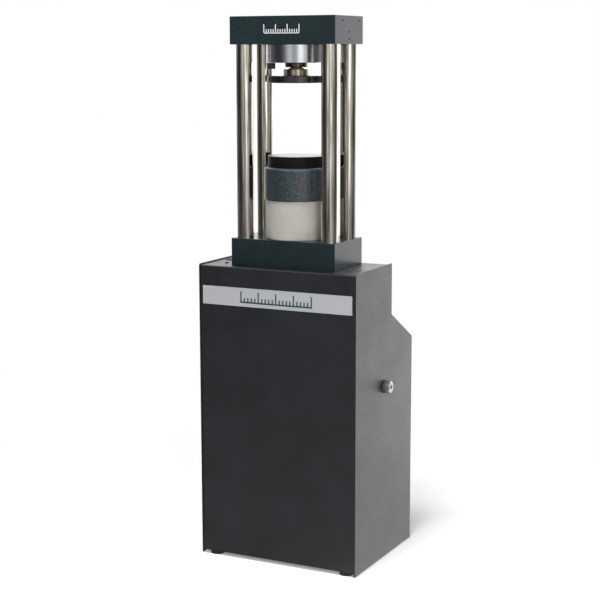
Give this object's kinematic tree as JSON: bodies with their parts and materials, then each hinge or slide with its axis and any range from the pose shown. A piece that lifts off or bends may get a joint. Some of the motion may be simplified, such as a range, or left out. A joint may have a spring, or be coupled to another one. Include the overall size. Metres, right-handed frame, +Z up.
{
  "type": "cement compression testing frame",
  "caption": "Free-standing compression frame: sheet cabinet, column load frame, hydraulic ram with dust collar below and a ball-seated platen above.",
  "frame": {"origin": "on the floor, under the centre of the whole object's bounding box", "axes": "+Z up along the columns, -Y towards the front cover with the band, +X to the side with the hydraulic inlet"},
  "size_m": [0.4264, 0.33, 1.29],
  "materials": {
    "cabinet_steel": "satin powder coat, charcoal",
    "block_paint": "satin dark petrol paint",
    "band_metal": "satin silver",
    "inner_frame_steel": "matte black primer",
    "column_chrome": "polished hard chrome",
    "cylinder_paint": "satin light grey paint",
    "collar_plastic": "fine matte, blue-grey",
    "lower_platen_steel": "blackened rim, ground face",
    "upper_platen_steel": "blackened, ground face",
    "polished_steel": "polished",
    "turned_steel": "turned, oiled",
    "bronze": "turned",
    "black_screws": "black oxide",
    "zinc_steel": "zinc plated",
    "nickel_fitting": "nickel plated",
    "rubber": "matte black"
  },
  "bodies": {
    "frame": {"base_pan": "cabinet_steel", "left_side_panel": "cabinet_steel", "right_side_panel": "cabinet_steel", "front_cover": "cabinet_steel", "rear_upper_panel": "cabinet_steel", "rear_cover": "cabinet_steel", "rear_cover_screws": "black_screws", "cover_screws": "black_screws", "cable_hole_plug": "rubber", "front_band": "band_metal", "front_left_foot": "rubber", "front_right_foot": "rubber", "rear_left_foot": "rubber", "rear_right_foot": "rubber", "foot_screws": "zinc_steel", "front_left_upright": "inner_frame_steel", "front_right_upright": "inner_frame_steel", "rear_left_upright": "inner_frame_steel", "rear_right_upright": "inner_frame_steel", "left_top_rail": "inner_frame_steel", "right_top_rail": "inner_frame_steel", "front_top_rail": "inner_frame_steel", "rear_top_rail": "inner_frame_steel", "support_plate": "inner_frame_steel", "support_screws": "zinc_steel", "base_block": "block_paint", "top_block": "block_paint", "front_left_column": "column_chrome", "front_right_column": "column_chrome", "rear_left_column": "column_chrome", "rear_right_column": "column_chrome", "lower_column_screws": "black_screws", "upper_column_screws": "black_screws", "ram_cylinder": "cylinder_paint", "cylinder_screws": "black_screws", "gland_ring": "turned_steel", "guide_ring": "bronze", "wiper_seal": "rubber", "seat_holder": "polished_steel", "seat_holder_screws": "black_screws", "ball_retaining_nut": "turned_steel", "stop_screw": "turned_steel", "inlet_washer": "rubber", "inlet_fitting": "nickel_fitting", "inlet_nut": "zinc_steel", "ram_port_adapter": "zinc_steel", "hose_ends": "zinc_steel", "hydraulic_hose": "rubber"},
    "ram": {"piston": "column_chrome", "piston_seal": "rubber", "lower_platen": "lower_platen_steel", "platen_dowel": "turned_steel", "dust_collar": "collar_plastic", "collar_screws": "zinc_steel"},
    "liner": {"seat_liner": "bronze"},
    "stud": {"ball_stud": "turned_steel", "stud_keeper_screw": "black_screws"},
    "upper_platen_assembly": {"platen_hub": "turned_steel", "upper_platen": "upper_platen_steel", "hub_screws": "black_screws"}
  },
  "joints": [
    {"name": "ram_lift", "type": "slide", "parent": "frame", "child": "ram", "axis": [0, 0, 1], "range_m": [0, 0.05]},
    {"name": "platen_tilt_x", "type": "hinge", "parent": "frame", "child": "liner", "pos_m": [-0.0082, -0.056, 1.196], "axis": [1, 0, 0], "range_deg": [-3, 3]},
    {"name": "platen_tilt_y", "type": "hinge", "parent": "liner", "child": "stud", "pos_m": [-0.0082, -0.056, 1.196], "axis": [0, 1, 0], "range_deg": [-3, 3]},
    {"name": "platen_turn", "type": "hinge", "parent": "stud", "child": "upper_platen_assembly", "pos_m": [-0.0082, -0.056, 1.162], "axis": [0, 0, 1], "continuous": true}
  ]
}
